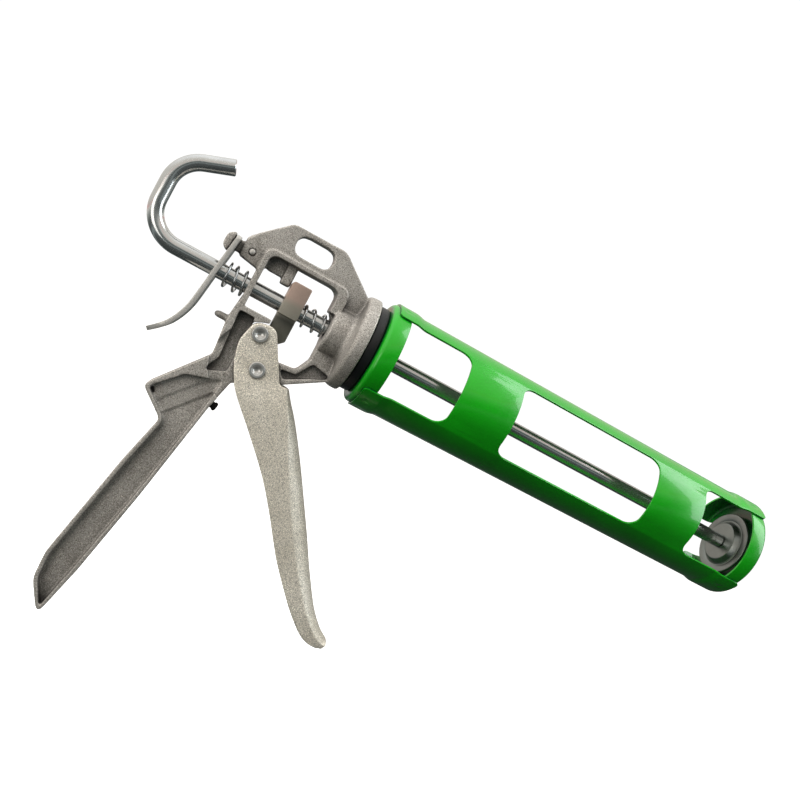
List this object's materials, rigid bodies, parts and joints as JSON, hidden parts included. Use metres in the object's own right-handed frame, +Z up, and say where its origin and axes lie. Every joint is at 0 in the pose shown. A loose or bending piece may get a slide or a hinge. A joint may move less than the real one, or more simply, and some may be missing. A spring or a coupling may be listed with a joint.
{
  "type": "caulking gun",
  "caption": "Hand caulking gun: cast handle and trigger, friction-drive hooked push rod, and a windowed swivelling half-barrel cradle for a sealant cartridge.",
  "frame": {"origin": "middle of the hand grip, on the handle's middle plane", "axes": "+X along the push rod towards the nozzle, +Z up from the grip towards the rod, +Y to the cradle's open side"},
  "size_m": [0.3678, 0.0549, 0.2323],
  "materials": {
    "cast_alloy": "speckled as-cast satin",
    "trigger_alloy": "speckled satin",
    "chrome_rod": "polished",
    "zinc_steel": "bright zinc",
    "sintered_steel": "sintered, lightly oiled",
    "spring_steel": "bright wire",
    "green_paint": "gloss",
    "black_nylon": "satin",
    "black_rubber": "matt"
  },
  "bodies": {
    "handle": {"handle_frame": "cast_alloy", "plate_stop_pin": "zinc_steel", "trigger_bumper": "black_rubber", "swivel_ring": "black_nylon", "retaining_washer": "zinc_steel", "retaining_nut": "zinc_steel", "drive_spring": "spring_steel", "release_spring": "spring_steel"},
    "cradle": {"rear_cap": "green_paint", "cradle_shell": "green_paint", "front_cap": "green_paint"},
    "plunger": {"plunger_disc": "zinc_steel"},
    "push_rod": {"push_rod": "chrome_rod", "plunger_washer": "zinc_steel", "plunger_nut": "zinc_steel"},
    "trigger": {"trigger": "trigger_alloy", "pivot_rivet": "zinc_steel", "pusher_rivet": "zinc_steel"},
    "drive_block": {"drive_block": "sintered_steel"},
    "release_plate": {"release_plate": "zinc_steel"}
  },
  "joints": [
    {"name": "cradle_swivel", "type": "hinge", "parent": "handle", "child": "cradle", "pos_m": [0.075, 0, 0.115], "axis": [1, 0, 0], "continuous": true},
    {"name": "plunger_slide", "type": "slide", "parent": "handle", "child": "plunger", "axis": [-1, 0, 0], "range_m": [0, 0.218]},
    {"name": "rod_turn", "type": "hinge", "parent": "plunger", "child": "push_rod", "pos_m": [0.075, 0, 0.115], "axis": [1, 0, 0], "continuous": true},
    {"name": "trigger_squeeze", "type": "hinge", "parent": "handle", "child": "trigger", "pos_m": [0.03, 0, 0.081], "axis": [0, 1, 0], "range_deg": [0, 28], "stiffness_Nm_per_rad": 0.15, "springref_deg": -57.3},
    {"name": "block_slide", "type": "slide", "parent": "handle", "child": "drive_block", "axis": [1, 0, 0], "range_m": [0, 0.0085], "deforming": ["drive_spring"]},
    {"name": "release_tilt", "type": "hinge", "parent": "handle", "child": "release_plate", "pos_m": [-0.0072, 0, 0.134], "axis": [0, -1, 0], "range_deg": [0, 11], "stiffness_Nm_per_rad": 0.05, "springref_deg": -28.65, "deforming": ["release_spring"]}
  ],
  "couplings": [
    {"joint": "block_slide", "follows": "trigger_squeeze", "m_per_rad": 0.017}
  ]
}
